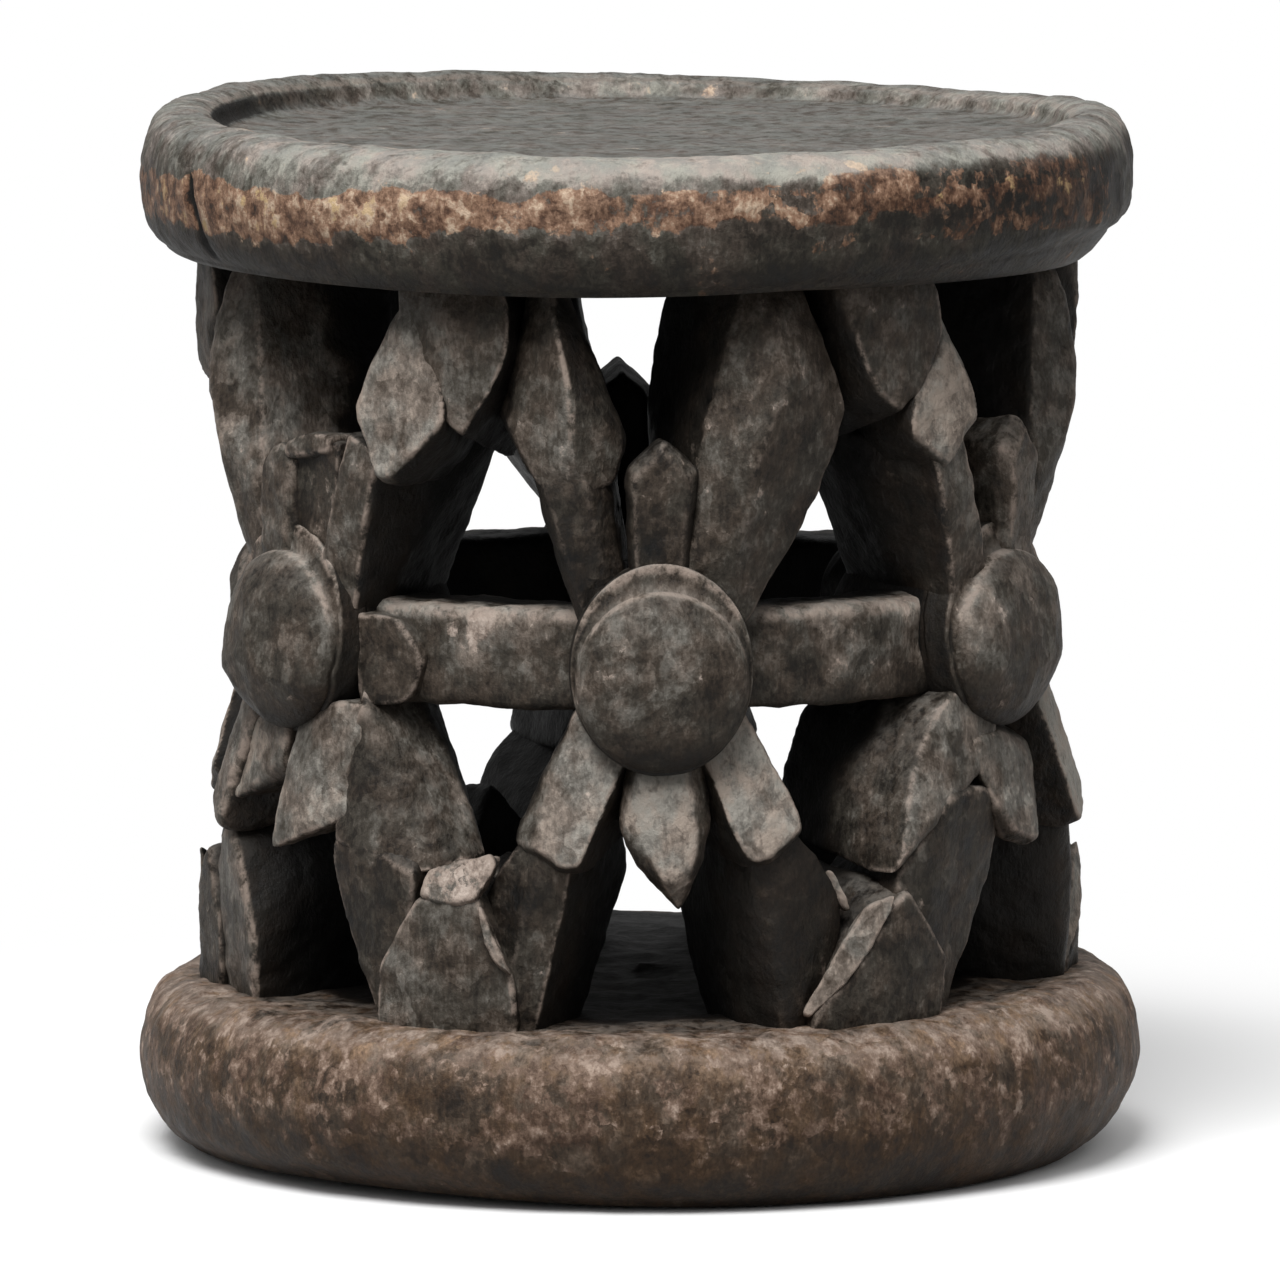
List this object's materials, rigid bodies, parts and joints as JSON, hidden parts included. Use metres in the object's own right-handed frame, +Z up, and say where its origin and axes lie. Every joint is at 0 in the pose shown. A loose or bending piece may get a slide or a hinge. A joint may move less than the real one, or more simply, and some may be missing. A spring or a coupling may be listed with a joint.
{
  "type": "low stool",
  "caption": "Low round stool with a dished seat, a thick round foot and a hollow carved openwork of spider figures between them.",
  "frame": {"origin": "middle of the foot's flat underside, on the surface that the stool stands on", "axes": "+Z up; the front spider figure faces -Y; +X is to the right of someone who faces that figure"},
  "size_m": [0.406, 0.406, 0.418],
  "materials": {
    "seat_wood": "dark hand-rubbed hardwood, dusty grey-green on top, worn tan and brown along the rim",
    "openwork_wood": "near-black smoked patina with adze cuts, grey sheen on the proud faces, brown where worn",
    "foot_wood": "warm brown worn hardwood with pinkish grey scuffs along the shoulder"
  },
  "bodies": {
    "root": {"seat": "seat_wood", "foot": "foot_wood", "spider_1_body": "openwork_wood", "spider_1_tail": "openwork_wood", "spider_1_upper_left_leg": "openwork_wood", "spider_1_upper_right_leg": "openwork_wood", "spider_1_lower_left_leg": "openwork_wood", "spider_1_lower_right_leg": "openwork_wood", "spider_1_upper_knuckle": "openwork_wood", "spider_1_lower_knuckle": "openwork_wood", "spider_1_waist_rail": "openwork_wood", "spider_2_body": "openwork_wood", "spider_2_tail": "openwork_wood", "spider_2_upper_left_leg": "openwork_wood", "spider_2_upper_right_leg": "openwork_wood", "spider_2_lower_left_leg": "openwork_wood", "spider_2_lower_right_leg": "openwork_wood", "spider_2_upper_knuckle": "openwork_wood", "spider_2_lower_knuckle": "openwork_wood", "spider_2_waist_rail": "openwork_wood", "spider_3_body": "openwork_wood", "spider_3_tail": "openwork_wood", "spider_3_upper_left_leg": "openwork_wood", "spider_3_upper_right_leg": "openwork_wood", "spider_3_lower_left_leg": "openwork_wood", "spider_3_lower_right_leg": "openwork_wood", "spider_3_upper_knuckle": "openwork_wood", "spider_3_lower_knuckle": "openwork_wood", "spider_3_waist_rail": "openwork_wood", "spider_4_body": "openwork_wood", "spider_4_tail": "openwork_wood", "spider_4_upper_left_leg": "openwork_wood", "spider_4_upper_right_leg": "openwork_wood", "spider_4_lower_left_leg": "openwork_wood", "spider_4_lower_right_leg": "openwork_wood", "spider_4_upper_knuckle": "openwork_wood", "spider_4_lower_knuckle": "openwork_wood", "spider_4_waist_rail": "openwork_wood", "spider_5_body": "openwork_wood", "spider_5_tail": "openwork_wood", "spider_5_upper_left_leg": "openwork_wood", "spider_5_upper_right_leg": "openwork_wood", "spider_5_lower_left_leg": "openwork_wood", "spider_5_lower_right_leg": "openwork_wood", "spider_5_upper_knuckle": "openwork_wood", "spider_5_lower_knuckle": "openwork_wood", "spider_5_waist_rail": "openwork_wood", "spider_6_body": "openwork_wood", "spider_6_tail": "openwork_wood", "spider_6_upper_left_leg": "openwork_wood", "spider_6_upper_right_leg": "openwork_wood", "spider_6_lower_left_leg": "openwork_wood", "spider_6_lower_right_leg": "openwork_wood", "spider_6_upper_knuckle": "openwork_wood", "spider_6_lower_knuckle": "openwork_wood", "spider_6_waist_rail": "openwork_wood"}
  },
  "joints": []
}
